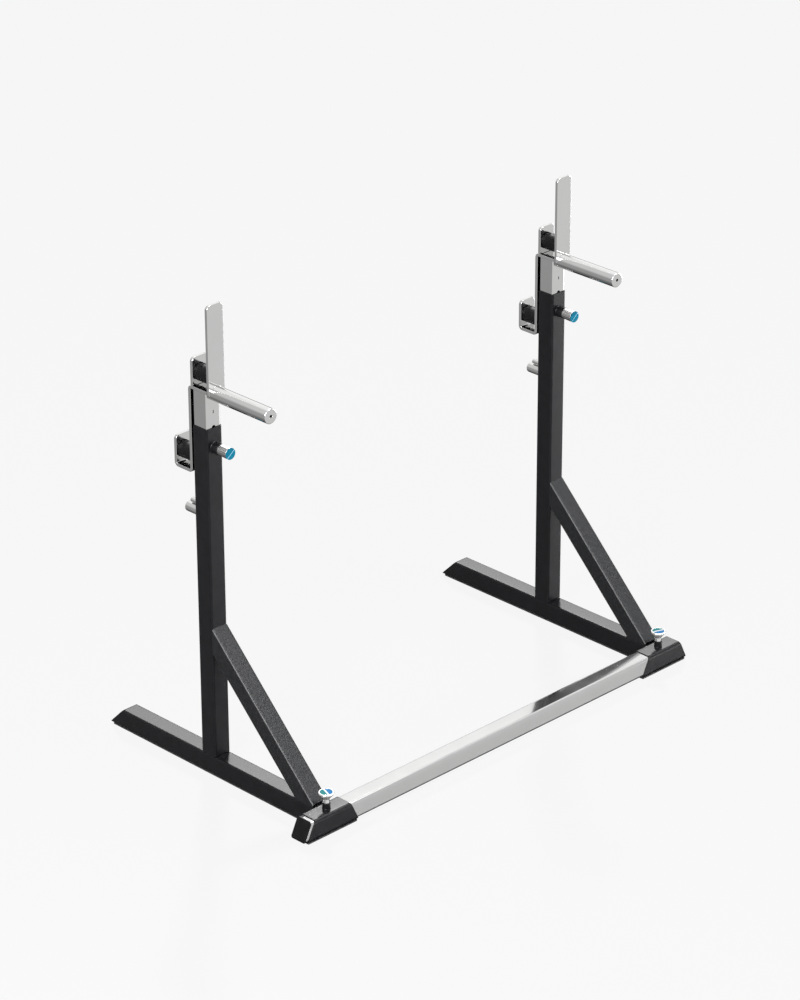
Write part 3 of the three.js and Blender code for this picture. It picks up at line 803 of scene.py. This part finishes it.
class STAND_OT_plungers(Build, bpy.types.Operator):
    """Sprung plungers with their bosses and caps, clamp knobs and stop pins"""
    bl_idname = "stand.plungers"
    bl_label = "Plungers and clamps"

    def make(self, side, sizes):
        spot = middle(f"{side}_plunger_cap")
        self.boss(side, spot)
        self.knob(side, spot, sizes)
        self.coil(side, spot, sizes)
        self.cap(side, spot)
        self.clamp(side)
        self.stop(side)

    def boss(self, side, spot):
        """A turned collar, a little wider at the mast where it is welded."""
        node = f"{side}_plunger_boss"
        low, high = box(node)
        radius, bore, weld = half_width(node), 8 * MM, 1.2 * MM
        lathe(f"{side}_plunger_collar", node, "black_paint", spot, (
            (bore, low[1]), (radius, low[1]), (radius, high[1] - 1.4 * MM),
            (radius + weld, high[1]), (bore, high[1])),
            (0.4 * MM, 1.1 * MM, 1.5 * MM, 0.2 * MM, 0.2 * MM), steps=4, count=72, bored=True)

    def knob(self, side, spot, sizes):
        """A turned knob that flares outwards, and its pin. Around the grip the radius loses a
        flute's depth times the square of half of one less the cosine of the turn times the
        number of flutes. The flutes fade out towards both ends of the grip."""
        node = f"{side}_plunger_pin"
        low, high = box(node)
        front, nose_end = low[1], high[1]
        base = box(f"{side}_plunger_boss")[0][1] - SEAT
        rim, root, shank, collar, nose = half_width(node), 13.4 * MM, 4.5 * MM, 7.5 * MM, 5 * MM
        collar_front, collar_back = nose_end - 5.3 * MM, nose_end - 2.8 * MM
        profile = eased((
            (NEAR_AXIS, front), (rim, front), (rim, front + 4 * MM), (root, base), (shank, base),
            (shank, collar_front), (collar, collar_front), (collar, collar_back),
            (nose, collar_back), (nose, nose_end), (NEAR_AXIS, nose_end)),
            (0, 0.6 * MM, 2 * MM, 1 * MM, 0.2 * MM, 0.2 * MM, 0.4 * MM, 0.4 * MM, 0.2 * MM,
             0.8 * MM, 0), steps=5, closed=False)
        grip, count, flute = 9 * MM, 128, 0.5 * MM
        rings = turned(self.divided(profile, grip, extra=10), count)
        along = rings[..., 2]
        rise = np.clip((along - front - 2.5 * MM) / (4 * MM), 0, 1)
        fall = np.clip((base - 1 * MM - along) / (3 * MM), 0, 1)
        turn = np.arange(count) / count * 2 * math.pi
        dip = rise * fall * flute * (0.5 - 0.5 * np.cos(sizes.flutes * turn)) ** 2
        radius = np.linalg.norm(rings[..., :2], axis=-1)
        rings[..., :2] *= np.where(radius > grip, 1 - dip / radius, 1)[..., None]
        lay(f"{side}_plunger_knob", node, "satin_metal", skin(rings), ALONG_Y,
            (spot[0], 0, spot[2]))

    def divided(self, profile, grip, extra):
        """Adds points to the grip's long line, so that the flutes can start and end softly."""
        long = np.abs(np.diff(profile[:, 1])) > 8 * MM
        at = int(np.argmax((profile[:-1, 0] > grip) & (profile[1:, 0] > grip) & long))
        share = np.linspace(0, 1, extra + 2)[1:-1, None]
        between = profile[at] * (1 - share) + profile[at + 1] * share
        return np.insert(profile, at + 1, between, axis=0)

    def coil(self, side, spot, sizes):
        """A wire round the pin. The wire's middle turns at one radius while it moves along Y in
        even steps, and each ring of the wire stands square to that path."""
        node = f"{side}_plunger_spring"
        low, high = box(node)
        wire, sides, steps = 0.6 * MM, 12, 40
        radius = half_width(node) - wire
        turn = np.linspace(0, 2 * math.pi * sizes.spring_turns, steps * sizes.spring_turns + 1)
        along = np.linspace(low[1] + wire, high[1] - wire, len(turn))
        still = np.zeros(len(turn))
        outward = np.stack((np.cos(turn), still, np.sin(turn)), -1)
        climb = still + (along[-1] - along[0]) / turn[-1]
        path = np.stack((-radius * np.sin(turn), climb, radius * np.cos(turn)), -1)
        beside = np.cross(unit(path), outward)
        around = np.arange(sides)[None, :, None] / sides * 2 * math.pi
        centre = radius * outward + np.stack((still + spot[0], along, still + spot[2]), -1)
        rings = centre[:, None] + wire * (
            np.cos(around) * outward[:, None] + np.sin(around) * beside[:, None])
        coil = piece(f"{side}_plunger_coil", node, "plain_steel", [skin(rings)])
        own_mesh(coil)

    def cap(self, side, spot):
        """A disc with a deeply rounded rim, its hairline turned off the upright."""
        node = f"{side}_plunger_cap"
        low, high = box(node)
        radius = half_width(node)
        inlay = lathe(f"{side}_plunger_inlay", node, "plunger_blue", spot, (
            (radius, high[1]), (radius, low[1]), (radius / 2, low[1])),
            (0.2 * MM, 1.1 * MM, 0), steps=5, count=72)
        turn = math.radians(38)
        lay_out_cap(inlay, spot, (math.sin(turn), 0, -math.cos(turn)),
                    (math.cos(turn), 0, math.sin(turn)), radius)

    def clamp(self, side):
        """A barrel with a deep rounded end and a groove near its base, and its screw."""
        node = f"{side}_clamp_knob"
        low, high = box(node)
        radius, screw, ease = half_width(node), 4 * MM, 0.3 * MM
        face = box(f"{side}_upright")[1][1] + SEAT
        floor = radius - 0.8 * MM
        lathe(f"{side}_clamp_barrel", node, "bright_chrome", middle(node), (
            (screw, low[1]), (screw, face), (radius, face), (radius, face + 5 * MM),
            (floor, face + 5.6 * MM), (floor, face + 7 * MM), (radius, face + 7.6 * MM),
            (radius, high[1])),
            (0.5 * MM, 0.2 * MM, 1 * MM, ease, ease, ease, ease, 4.5 * MM),
            steps=8, count=80)

    def stop(self, side):
        """A short round pin with an eased rear end."""
        node = f"{side}_stop_pin"
        low, high = box(node)
        radius = half_width(node)
        lathe(f"{side}_stop_stud", node, "bright_chrome", middle(node),
              ((radius, low[1]), (radius, high[1])), (0.3 * MM, 1.2 * MM), steps=5, count=48)


class STAND_OT_carriages(Build, bpy.types.Operator):
    """Sliding posts with their straps, hooks, plates and pegs"""
    bl_idname = "stand.carriages"
    bl_label = "Posts and hooks"

    def make(self, side, sizes):
        self.post(side, sizes)
        self.strap(side, sizes)
        self.back_wall(side, sizes)
        self.front_plate(side, sizes)
        self.peg(side)
        self.numbers(side, sizes)

    def hole_heights(self, side, sizes):
        """Heights from the top down. The highest hole is level with the mast's top edge."""
        first = box(f"{side}_upright")[1][2]
        return [first - number * sizes.hole_pitch for number in range(sizes.hole_count)]

    def post(self, side, sizes):
        """A tube, and the height holes cut through its front wall by rods along Y."""
        node = f"{side}_post"
        low, high = box(node)
        axis = middle(node)
        shell = tube(high[0] - low[0], sizes.post_corner, sizes.post_wall,
                     (low[2], 0), (high[2], 0))
        post = lay(f"{side}_slide_post", node, "bright_chrome", shell, ALONG_Z, (*axis[:2], 0))
        start, stop, count = low[1] - 3 * MM, low[1] + 8 * MM, 40
        points, faces = skin(turned(
            ((sizes.hole_radius, start), (sizes.hole_radius, stop)), count))
        rods = [(placed(points, (axis[0], 0, height), ALONG_Y), faces)
                for height in self.hole_heights(side, sizes)]
        cutter = piece(f"{side}_hole_cutter", None, "bright_chrome", rods, body_of(node))
        cut = post.modifiers.new("height_holes", "BOOLEAN")
        cut.operation = "DIFFERENCE"
        cut.solver = "EXACT"
        cut.object = cutter
        post.modifiers.move(len(post.modifiers) - 1, 0)
        bpy.context.view_layer.update()
        settle(post)
        bpy.data.objects.remove(cutter)

    def strap(self, side, sizes):
        """A flat bar's rounded section carried along a bent line in the plane of Y and Z: over
        the post, down behind it, back under the lower roller and up again. Close to the free end
        the half width falls along a quarter circle."""
        node = f"{side}_hook_strap"
        low, high = box(node)
        half, thick, ease = half_width(node), 8 * MM, 0.8 * MM
        mast = middle(f"{side}_upright")[1]
        back, wall = mast + 36.5 * MM - thick / 2, mast + 92 * MM - thick / 2
        top, floor = high[2] - thick / 2, low[2] + thick / 2
        line = eased(
            ((low[1], top), (back, top), (back, floor), (wall, floor), (wall, self.tip(side))),
            (0, sizes.bend, sizes.bend, sizes.bend, 0), steps=10, closed=False)
        reach, run = sizes.hook_corner, np.linspace(0, math.pi / 2, 9)
        rounding = line[-1] - np.outer(reach * (1 - np.sin(run)), (0, 1))
        line = np.concatenate((line[:-1], rounding))
        widths = np.full(len(line), half)
        widths[-len(run):] -= reach * (1 - np.cos(run))
        ahead = unit(np.gradient(line, axis=0))
        outward = np.stack((-ahead[:, 1], ahead[:, 0]), -1)
        across, height = rounded_rectangle(2, thick, ease, steps=4).T
        over = np.sign(across) * (widths[:, None] - (1 - np.abs(across)))
        spots = line[:, None] + height[:, None] * outward[:, None]
        rings = np.concatenate((middle(node)[0] + over[..., None], spots), -1)
        piece(f"{side}_hook_bar", node, "bright_chrome", [skin(rings)])

    def tip(self, side):
        """The free end of the hook's wall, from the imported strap's own points."""
        points = points_of(frame["nodes"][f"{side}_hook_strap"].data)
        return points[points[:, 1] > points[:, 1].max() - 1 * MM][:, 2].max()

    def back_wall(self, side, sizes):
        """The upper hook's wall: an outline in X and Z with two rounded top corners."""
        low, high = box(f"{side}_back_wall")
        foot, ease = 0.4 * MM, 0.8 * MM
        outline = eased(
            ((low[0], low[2]), (high[0], low[2]), (high[0], high[2]), (low[0], high[2])),
            (foot, foot, sizes.hook_corner, sizes.hook_corner), steps=9)
        lay(f"{side}_hook_wall", f"{side}_back_wall", "bright_chrome",
            slab(outline, low[1], high[1], ease))

    def front_plate(self, side, sizes):
        """A tall plate with two rounded top corners, and a bay below that fits over the peg: an
        arc around the peg's axis, a hair wider than the peg."""
        low, high = box(f"{side}_front_plate")
        axis = middle(f"{side}_peg")
        bay, ease = half_width(f"{side}_peg") + 0.06 * MM, 0.8 * MM
        start = math.asin(min(1, (low[2] - axis[2]) / bay))
        turn = np.linspace(start, math.pi - start, 41)
        arc = np.stack((axis[0] + bay * np.cos(turn), axis[2] + bay * np.sin(turn)), -1)[::-1]
        top = eased(
            ((high[0], low[2]), (high[0], high[2]), (low[0], high[2]), (low[0], low[2])),
            (0, sizes.plate_corner, sizes.plate_corner, 0), steps=12, closed=False)
        lay(f"{side}_catch_plate", f"{side}_front_plate", "bright_chrome",
            slab(np.concatenate((top, arc)), low[1], high[1], ease))

    def peg(self, side):
        """A round bar along Y with an eased end and a small centre hole. Behind the plate its
        upper half is cut level, so it fits under the strap."""
        node = f"{side}_peg"
        low, high = box(node)
        radius, hole, depth, count = half_width(node), 3.9 * MM, 11 * MM, 128
        centre = (middle(node)[0], 0, low[2] + radius)
        behind = box(f"{side}_front_plate")[1][1]
        profile = eased((
            (NEAR_AXIS, low[1] + depth), (hole, low[1] + depth), (hole, low[1]),
            (radius, low[1]), (radius, behind)),
            (0, 0.2 * MM, 0.05 * MM, 1.6 * MM, 0), steps=5, closed=False)
        stub = turned(((radius, behind), (radius, high[1])), count)
        stub[..., 1] = np.minimum(stub[..., 1], box(f"{side}_post")[1][2] - centre[2])
        lay(f"{side}_spotter_peg", node, "bright_chrome",
            skin(np.concatenate((turned(profile, count), stub))), ALONG_Y, centre)
        self.bore(side, centre, low[1], hole, depth)

    def bore(self, side, centre, mouth, hole, depth):
        """A thin black cup inside the centre hole: painted shade for the dark depth of the hole."""
        outer, inner = hole - 0.02 * MM, hole - 0.3 * MM
        rim, floor, back = mouth + 0.1 * MM, mouth + depth - 0.6 * MM, mouth + depth - 0.1 * MM
        lining = eased((
            (inner, rim), (outer, rim), (outer, back), (NEAR_AXIS, back), (NEAR_AXIS, floor),
            (inner, floor)), 0.05 * MM, steps=2)
        lay(f"{side}_peg_bore_shade", None, "dark_mark", skin(turned(lining, count=32), wrap=True),
            ALONG_Y, centre, body_of(f"{side}_peg"))

    def numbers(self, side, sizes):
        """Small plain numbers, one above each height hole, as ink that stands on the post's front
        by a hair."""
        node = f"{side}_post"
        face, x = box(node)[0][1], middle(node)[0]
        depsgraph = bpy.context.evaluated_depsgraph_get()
        shells = []
        for number, height in enumerate(self.hole_heights(side, sizes), 1):
            curve = bpy.data.curves.new("number", "FONT")
            curve.body = str(number)
            curve.size = 10 * MM
            curve.align_x = "CENTER"
            curve.align_y = "CENTER"
            curve.extrude = 0.04 * MM
            curve.offset = 0.75 * MM
            curve.resolution_u = 3
            text = linked("number", curve)
            bpy.context.view_layer.update()
            mesh = bpy.data.meshes.new_from_object(text.evaluated_get(depsgraph))
            points = placed(points_of(mesh), (x, face, height + 40 * MM),
                            ((1, 0, 0), (0, 0, 1), (0, -1, 0)))
            shells.append((points, [list(face_of.vertices) for face_of in mesh.polygons]))
            bpy.data.objects.remove(text)
            bpy.data.meshes.remove(mesh)
        piece(f"{side}_height_numbers", None, "dark_mark", shells, body_of(node))


def settle(thing):
    """Swaps the mesh for what its modifiers make of it, and shades it anew."""
    depsgraph = bpy.context.evaluated_depsgraph_get()
    mesh = bpy.data.meshes.new_from_object(thing.evaluated_get(depsgraph))
    mesh.name = thing.name
    thing.modifiers.clear()
    thing.data = mesh
    shade(thing)


class STAND_OT_rollers(Build, bpy.types.Operator):
    """Hook rollers and the liners beside them"""
    bl_idname = "stand.rollers"
    bl_label = "Rollers and liners"

    def make(self, side, sizes):
        for place in ("upper", "lower"):
            self.roller(side, place)
        for place in ("upper_plate", "upper_wall", "lower_strap", "lower_wall"):
            self.liner(side, place)

    def roller(self, side, place):
        """A turned roller with eased rims and a broad shallow waist between its ends."""
        node = f"{side}_{place}_roller"
        low, high = box(node)
        radius, bore, ease = half_width(node), 6.5 * MM, 0.3 * MM
        waist = radius - 0.4 * MM
        lathe(f"{side}_{place}_hook_roller", node, "black_nylon", middle(node), (
            (bore, low[1]), (radius, low[1]), (radius, low[1] + 3 * MM),
            (waist, low[1] + 3.4 * MM), (waist, high[1] - 3.4 * MM),
            (radius, high[1] - 3 * MM), (radius, high[1]), (bore, high[1])),
            (0.6 * MM, 1.2 * MM, ease, ease, ease, ease, 1.2 * MM, 0.6 * MM),
            steps=4, count=96, bored=True)

    def liner(self, side, place):
        """A thin ring around the axle with eased rims."""
        node = f"{side}_{place}_liner"
        low, high = box(node)
        radius, bore, ease = half_width(node), 6.3 * MM, 0.5 * MM
        lathe(f"{side}_{place}_pad", node, "black_nylon", middle(node), (
            (bore, low[1]), (radius, low[1]), (radius, high[1]), (bore, high[1])),
            ease, steps=4, count=96, bored=True)


# Stage

CAMERA_PLACE = (-6.011352, -6.13905, 4.61442)
CAMERA_TURN = (math.pi / 2 - 0.4437, 0, -0.7856)
LENS = 137.7526
SHIFT = (-0.02851, 0.00683)
BACKGROUND = 0.94
FLOOR_LEVEL = 0.928
# Direction, where a zone starts and is full as a cosine, and what it adds to the room's level
ROOM_ZONES = (
    ((0.6, 0.5, 0.62), 0.65, 0.92, 0.5),
    ((-0.62, 0.55, -0.56), 0.5, 0.85, -0.46),
    ((0.1, -0.64, 0.76), 0.84, 0.97, 1.4),
    ((0.3, -0.25, 0.92), 0.93, 0.99, 20.0),
    ((-0.78, -0.36, 0.51), 0.88, 0.98, 12.0),
    ((0.88, -0.45, -0.15), 0.945, 0.99, 15.0),
    ((0, 0, -1), 0.3, 0.8, -0.3),
    ((0.74, 0.26, -0.62), 0.65, 0.74, -0.9),
)


class StageLight(bpy.types.PropertyGroup):
    room: FloatProperty(
        name="Room", description="Strength of the room's light on matt surfaces", default=0.18)
    key: FloatProperty(
        name="Key", description="Power of the softbox beside the camera", default=110,
        unit="POWER")
    back: FloatProperty(
        name="Back", description="Strength of the far lamp behind the stand", default=3.2)
    strip: FloatProperty(
        name="Strip", description="Power of the low strip lamp in front", default=100,
        unit="POWER")


def softbox(name, place, aim, size, power):
    """A flat lamp that looks from its place to its aim."""
    light = bpy.data.lights.new(name, "AREA")
    light.shape = "RECTANGLE"
    light.size, light.size_y = size
    light.energy = power
    lamp = linked(name, light)
    lamp.location = place
    way = np.array(aim, float) - np.array(place, float)
    flat = math.hypot(way[0], way[1])
    lamp.rotation_euler = (math.atan2(flat, -way[2]), 0, math.atan2(way[1], way[0]) - math.pi / 2)
    lamp.visible_camera = False
    return lamp


class STAND_OT_stage(bpy.types.Operator):
    """Floor, lamps, room light and the camera"""
    bl_idname = "stand.stage"
    bl_label = "Stage"

    def execute(self, context):
        light = context.scene.stage_light
        self.floor()
        self.room(light)
        self.lamps(light)
        self.camera()
        context.scene.view_settings.view_transform = "Standard"
        return {"FINISHED"}

    def floor(self):
        """A wide pale floor. What the camera sees of it is mostly its own plain white, and the
        rest takes the light, so that the stand keeps a soft shadow. Gloss sees the room's own
        lower half in its place."""
        size, plain_share = 40.0, 0.96
        mesh = bpy.data.meshes.new("studio_floor")
        corners = [(size * x, size * y, 0) for x, y in ((-1, -1), (1, -1), (1, 1), (-1, 1))]
        mesh.from_pydata(corners, [], [(0, 1, 2, 3)])
        floor = linked("studio_floor", mesh)
        floor.visible_glossy = False
        material = bpy.data.materials.new("studio_floor")
        material.use_nodes = True
        tree = material.node_tree
        tree.nodes.clear()
        matt = add_node(tree, "BsdfDiffuse", {"Color": (0.8, 0.8, 0.8, 1)})
        plain = add_node(tree, "Emission", {"Strength": FLOOR_LEVEL})
        shown = add_node(tree, "MixShader", {"Fac": plain_share, 1: matt, 2: plain})
        seen = add_node(tree, "LightPath", {}, "Is Camera Ray")
        mix = add_node(tree, "MixShader", {"Fac": seen, 1: matt, 2: shown})
        add_node(tree, "OutputMaterial", {"Surface": mix})
        mesh.materials.append(material)

    def room(self, light):
        """Room light by direction. Gloss sees a pale room whose level rises or falls smoothly
        around a few directions, as reflectors and a dark corner would make it."""
        world = bpy.data.worlds.new("studio_room")
        world.use_nodes = True
        bpy.context.scene.world = world
        tree = world.node_tree
        tree.nodes.clear()
        way = add_node(tree, "TexCoord", {}, "Generated")
        level, least = BACKGROUND, 0.02
        for toward, start, stop, gain in ROOM_ZONES:
            dot = add_node(tree, "VectorMath", {0: way, 1: toward}, "Value",
                           operation="DOT_PRODUCT")
            zone = add_node(tree, "MapRange", {
                "Value": dot, "From Min": start, "From Max": stop, "To Min": 0, "To Max": gain},
                interpolation_type="SMOOTHSTEP")
            level = add_node(tree, "Math", {0: level, 1: zone}, operation="ADD")
        level = add_node(tree, "Math", {0: level, 1: least}, operation="MAXIMUM")
        gloss, matt, shown = (
            add_node(tree, "Background", {"Color": (1, 1, 1, 1), "Strength": strength})
            for strength in (level, light.room, BACKGROUND))
        path = tree.nodes.new("ShaderNodeLightPath").outputs
        unseen = add_node(tree, "MixShader", {"Fac": path["Is Glossy Ray"], 1: matt, 2: gloss})
        mix = add_node(tree, "MixShader", {"Fac": path["Is Camera Ray"], 1: unseen, 2: shown})
        add_node(tree, "OutputWorld", {"Surface": mix})

    def lamps(self, light):
        """A softbox beside the camera, a far lamp behind and a low strip in front."""
        softbox("key_softbox", (-2.9, -1.35, 2.4), (0, 0, 0.5), (1.2, 1.2), light.key)
        self.far_lamp("back_lamp", 45, 42, 6, light.back)
        strip = softbox("strip_lamp", (2.2, -3.2, 0.6), (0, 0, 0.3), (0.8, 0.5), light.strip)
        strip.visible_glossy = False

    def far_lamp(self, name, azimuth, height, spread, strength):
        """A wide lamp so far off that it comes from one side everywhere: azimuth, height above
        the floor and spread are in degrees."""
        light = bpy.data.lights.new(name, "SUN")
        light.energy = strength
        light.angle = math.radians(spread)
        lamp = linked(name, light)
        lamp.rotation_euler = (math.radians(90 - height), 0, math.radians(azimuth + 90))
        lamp.visible_camera = False

    def camera(self):
        data = bpy.data.cameras.new("photo_view")
        data.sensor_fit = "AUTO"
        data.sensor_width = 36
        data.lens = LENS
        data.shift_x, data.shift_y = SHIFT
        data.clip_end = 200
        camera = linked("photo_view", data)
        camera.location = CAMERA_PLACE
        camera.rotation_euler = CAMERA_TURN
        bpy.context.scene.camera = camera


OPERATORS = (
    STAND_OT_finishes, STAND_OT_feet, STAND_OT_masts, STAND_OT_crossbar, STAND_OT_locks,
    STAND_OT_plungers, STAND_OT_carriages, STAND_OT_rollers, STAND_OT_stage,
)


class STAND_PT_panel(bpy.types.Panel):
    """Lists the steps and the sizes in the sidebar"""
    bl_label = "Squat stand"
    bl_idname = "STAND_PT_panel"
    bl_space_type = "VIEW_3D"
    bl_region_type = "UI"
    bl_category = "Squat Stand"

    def draw(self, context):
        layout = self.layout
        for operator in OPERATORS:
            layout.operator(operator.bl_idname)
        for group in (context.scene.stand_sizes, context.scene.stage_light):
            for name in group.__annotations__:
                layout.prop(group, name)


CLASSES = (StandSizes, StageLight, *OPERATORS, STAND_PT_panel)


def register():
    for item in CLASSES:
        bpy.utils.register_class(item)
    bpy.types.Scene.stand_sizes = PointerProperty(type=StandSizes)
    bpy.types.Scene.stage_light = PointerProperty(type=StageLight)


def unregister():
    del bpy.types.Scene.stage_light
    del bpy.types.Scene.stand_sizes
    for item in reversed(CLASSES):
        bpy.utils.unregister_class(item)


def main():
    register()
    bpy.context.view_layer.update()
    bpy.ops.stand.finishes()
    bpy.ops.stand.feet()
    bpy.ops.stand.masts()
    bpy.ops.stand.crossbar()
    bpy.ops.stand.locks()
    bpy.ops.stand.plungers()
    bpy.ops.stand.carriages()
    bpy.ops.stand.rollers()
    bpy.ops.stand.stage()


if __name__ == "__main__":
    main()
